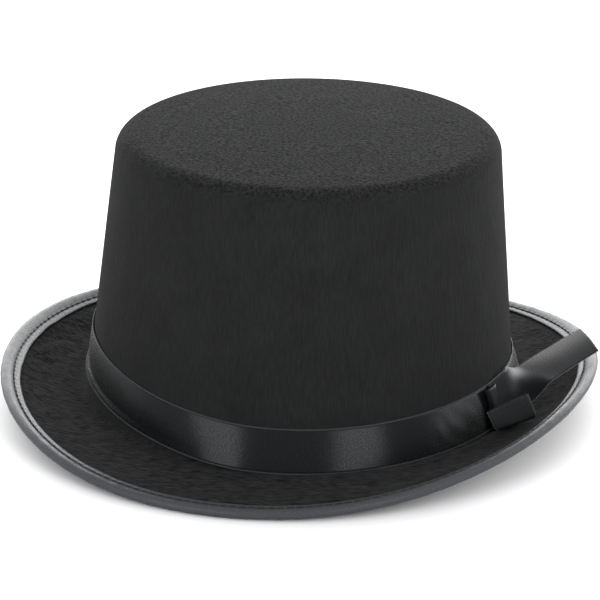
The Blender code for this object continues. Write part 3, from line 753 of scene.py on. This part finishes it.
def fray(name, ends, forward, sideways, count, seed):
    """Loose warp threads at a cut: thin three-sided strands from points along the cut, each bending by a
    seeded amount to one side and to one face."""
    draw = np.random.default_rng(seed)
    t = draw.uniform(0, 1, count)
    root = ends[0] + (ends[1] - ends[0]) * t[:, None]
    length = draw.uniform(0.5, 2.1, count) * MM
    lean = draw.normal(0, 0.35, (count, 2))
    up = np.cross(forward, sideways)
    steps = np.linspace(0, 1, 5)
    path = root[:, None] + forward * (length[:, None] * steps)[..., None]
    path = path + sideways * (lean[:, :1] * length[:, None] * steps**2)[..., None]
    path = path + up * (lean[:, 1:] * length[:, None] * steps**2)[..., None]
    turn = np.linspace(0, TURN, 3, endpoint=False)
    ring = sideways * np.cos(turn)[:, None] + up * np.sin(turn)[:, None]
    width = 0.055 * MM * (1 - 0.7 * steps)
    points = path[:, :, None] + ring * width[:, None, None]
    vertices = points.reshape(-1, 3)
    strand = np.arange(15).reshape(5, 3)
    turned = np.roll(strand, -1, 1)
    quads = np.stack((strand[:-1], turned[:-1], turned[1:], strand[1:]), -1).reshape(-1, 4)
    faces = (quads[None] + 15 * np.arange(count)[:, None, None]).reshape(-1, 4).tolist()
    for base in range(0, 15 * count, 15):
        faces += [[base + 2, base + 1, base], [base + 12, base + 13, base + 14]]
    mesh = bpy.data.meshes.new(name)
    mesh.from_pydata(vertices.tolist(), [], faces)
    piece = bpy.data.objects.new(name, mesh)
    scene.collection.objects.link(piece)
    return piece


LONG_ROWS = 150
long_share = np.linspace(0.0, 1.0, LONG_ROWS)
long_middle, long_along, long_across = long_frame(long_share)
long_run = np.append(0, np.cumsum(np.linalg.norm(np.diff(long_middle, axis=0), axis=-1)))
long_cup = 0.9 * MM * smooth((long_share - 0.45) / 0.3)
long_end, long_picots = strip(
    "satin_long_end",
    loose_satin,
    long_middle,
    long_along,
    long_across,
    np.full(LONG_ROWS, RIBBON_WIDTH),
    long_cup,
    LONG_CUT_SLANT * smooth((long_share - 0.5) / 0.5) ** 1.5,
    long_run,
)
hinge, hinge_along, _ = long_frame(0.5)
for piece in (long_end, *long_picots):
    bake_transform(piece)
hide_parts("ribbon_long_end", "long_end_root")
cut = [
    long_middle[-1] + long_across[-1] * RIBBON_WIDTH / 2 * k + long_along[-1] * (LONG_CUT_SLANT * k - 0.2 * MM)
    for k in (-1, 1)
]
long_fray = fray("long_end_fray", cut, long_along[-1], long_across[-1], 90, 51)
long_fray.data.materials.append(black_satin)
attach(long_fray, "long_end")


# The short end: it comes out under the long one, lies on the brim and stands up at a soft crease.
# It faces the front, so it looks darker than the flat ribbon behind it.
CREASE = np.array(((0.0975, -0.0430, 0.0072), (0.1137, -0.0360, 0.0124)))
SHORT_TIP = np.array(((0.0931, -0.0440, 0.0169), (0.1088, -0.0379, 0.0245)))
SHORT_ROOT = np.array(((0.0990, -0.0300, 0.0076), (0.1056, -0.0275, 0.0098)))


def short_strip():
    """A ribbon on the quadratic curve from its root over the crease to its tip, edge by edge, flattened
    towards the two straight runs by raising the curve's weight on the crease."""
    t = np.linspace(0, 1, 60)[:, None]
    weight = 3.5
    total = (1 - t) ** 2 + 2 * weight * t * (1 - t) + t**2
    inner, outer = (
        (SHORT_ROOT[k] * (1 - t) ** 2 + CREASE[k] * 2 * weight * t * (1 - t) + SHORT_TIP[k] * t**2) / total
        for k in (0, 1)
    )
    middle = (inner + outer) / 2
    across = outer - inner
    width = np.linalg.norm(across, axis=-1)
    across /= width[:, None]
    along = np.gradient(middle, axis=0)
    along -= across * np.einsum("ij,ij->i", along, across)[:, None]
    along /= np.linalg.norm(along, axis=-1, keepdims=True)
    run = np.append(0, np.cumsum(np.linalg.norm(np.diff(middle, axis=0), axis=-1)))
    part = t[:, 0]
    cup = 0.9 * MM * smooth((part - 0.55) / 0.45) - 0.8 * MM * (1 - smooth(part / 0.3))
    piece, loops = strip("satin_short_end", satin_reverse, middle, along, across, width, cup, 0 * part, run)
    return piece, loops, middle[-1], along[-1], across[-1], width[-1]


short_end, short_picots, short_top, short_along, short_across, short_width = short_strip()
for piece in (short_end, *short_picots):
    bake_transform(piece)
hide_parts("ribbon_short_end", "short_end_root")
short_cut = [short_top + short_across * short_width / 2 * k - short_along * 0.2 * MM for k in (-1, 1)]
short_fray = fray("short_end_fray", short_cut, short_along, short_across, 60, 52)
short_fray.data.materials.append(satin_reverse)
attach(short_fray, "short_end")


# The glue: dots of hot-melt between the crown and the band, cloudy where they have set.
# Their shapes are the frame's own; only the finish is made here.
def glue_finish():
    """Hot-melt: pale and waxy, with a cloudy tone from a slow noise and a little light let through."""
    material, tree, shader = finish("hot_melt_glue", (0.72, 0.69, 0.60), 0.35)
    shader.inputs["Subsurface Weight"].default_value = 0.3
    shader.inputs["Subsurface Scale"].default_value = 1.0 * MM
    place = node(tree, "ShaderNodeTexCoord").outputs["Object"]
    cloud = node(tree, "ShaderNodeTexNoise", {"Vector": place, "Scale": 700.0, "Detail": 3.0})
    tone = between(tree, cloud.outputs["Fac"], (0.60, 0.57, 0.48), (0.80, 0.78, 0.70))
    tree.links.new(tone, shader.inputs["Base Color"])
    return material


hot_melt = glue_finish()
for glue_side in ("front", "left", "back_left", "back"):
    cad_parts[f"band_glue_{glue_side}"].data.materials.clear()
    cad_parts[f"band_glue_{glue_side}"].data.materials.append(hot_melt)


# The sweatband: a black grosgrain strip 25 mm wide inside the foot of the crown, sewn at its lower edge.
# Its ribs run up and down, and its free upper edge waves away from the felt a little.
SWEATBAND_START, SWEATBAND_HEIGHT, SWEATBAND_THICK, SWEATBAND_GAP = 1.6 * MM, 25.0 * MM, 0.6 * MM, 0.4 * MM
SWEATBAND_SEAM = 2.5 * MM
RIB_PITCH = 0.9 * MM


def sweatband():
    """The strip inside the felt: ribs as a sine of its run on the inner face, and the upper edge moved in
    by slow waves."""
    inner_face = -FELT - SWEATBAND_GAP - SWEATBAND_THICK
    run_size = (FOOT_HALF[0] + FOOT_HALF[1]) / 2
    angle = np.linspace(0, TURN, 2700, endpoint=False)
    share = np.linspace(0, 1, 13)
    a, s = np.meshgrid(angle, share, indexing="ij")
    z = foot_z(a) + SWEATBAND_START + SWEATBAND_HEIGHT * s
    ribs = 0.06 * MM * np.sin(TURN * a * run_size / RIB_PITCH)
    drawn_in = 0.5 * MM * smooth(s) * (1 + ripple(a, 61, 9, 0.3)) / 2
    front = on_side(a, z, inner_face - ribs - drawn_in)
    back = on_side(a, z, inner_face + SWEATBAND_THICK - drawn_in)
    points = np.concatenate((front, back[:, ::-1]), 1)
    length = np.append(angle, TURN) * run_size
    uv = sheet_uv(length, share * SWEATBAND_HEIGHT)
    return surface("grosgrain_sweatband", points, close_rows=True, close_columns=True, uv=uv)


def grosgrain_finish():
    """Grosgrain: fine warp threads from a noise stretched along the strip set the tone and the bump; the ribs are in
    the strip's shape.
    """
    material, tree, shader = finish("black_grosgrain", (0.018, 0.018, 0.019), 0.75)
    shader.inputs["Sheen Weight"].default_value = 0.1
    uv = node(tree, "ShaderNodeTexCoord").outputs["UV"]
    warp = node(tree, "ShaderNodeMapping", {"Vector": uv, "Scale": (0.2, 1.0, 1.0)}).outputs["Vector"]
    yarn = node(tree, "ShaderNodeTexNoise", {"Vector": warp, "Scale": 4000.0, "Detail": 2.0})
    tone = between(tree, yarn.outputs["Fac"], (0.010, 0.010, 0.011), (0.028, 0.028, 0.030))
    tree.links.new(tone, shader.inputs["Base Color"])
    bumped(tree, shader, yarn.outputs["Fac"], 0.5, 0.08 * MM)
    return material


sweat = sweatband()
sweat.data.materials.append(grosgrain_finish())
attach(sweat, "hat")
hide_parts("sweatband")

SWEAT_STITCHES = 190
sweat_angle = np.linspace(0, TURN, SWEAT_STITCHES * 10, endpoint=False)
seam_z = foot_z(sweat_angle) + SWEATBAND_START + SWEATBAND_SEAM
seam = on_side(sweat_angle, seam_z, -FELT - SWEATBAND_GAP - SWEATBAND_THICK)
seam_in = -np.stack((np.sin(sweat_angle), -np.cos(sweat_angle), 0 * sweat_angle), -1)
seam_wave = np.abs(np.sin(sweat_angle * SWEAT_STITCHES / 2))
seam_lift = THREAD_RADIUS * (1.2 - 3.2 * (1 - smooth(seam_wave / 0.55)))
sweat_thread = tube("sweatband_stitches", seam + seam_in * seam_lift[:, None], seam_in, THREAD_RADIUS, 6)
sweat_thread.data.materials.append(black_thread)
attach(sweat_thread, "hat")
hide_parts("sweatband_thread")


# The label: a small blank woven label inside the back, with folded ends, and nothing printed on it.
LABEL_HALF_ANGLE, LABEL_LOW, LABEL_HIGH, LABEL_THICK = np.radians(7), 10.0 * MM, 24.0 * MM, 0.4 * MM


def size_label():
    """A thin curved slab on the sweatband's inner face, bowed in a little between its ends."""
    part = np.linspace(-1, 1, 45)
    share = np.linspace(0, 1, 17)
    p, s = np.meshgrid(part, share, indexing="ij")
    angle = np.pi + LABEL_HALF_ANGLE * p
    z = LABEL_LOW + (LABEL_HIGH - LABEL_LOW) * s
    offset = -FELT - SWEATBAND_GAP - SWEATBAND_THICK - 0.3 * MM
    bow = 0.35 * MM * np.cos(np.pi * p / 2) + 0.12 * MM * np.abs(p) ** 8
    front = on_side(angle, z, offset - LABEL_THICK - bow)
    back = on_side(angle, z, offset - bow)
    points = np.concatenate((front, back[:, ::-1]), 1)
    uv = sheet_uv((part + 1) * 11 * MM, share * (LABEL_HIGH - LABEL_LOW))
    return surface("blank_label", points, close_columns=True, caps=True, uv=uv)


label = size_label()
label.data.materials.append(satin_finish("white_woven_label", (0.50, 0.50, 0.49), 0.5, 0.5 * MM, 0.04 * MM))
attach(label, "hat")
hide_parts("size_label")
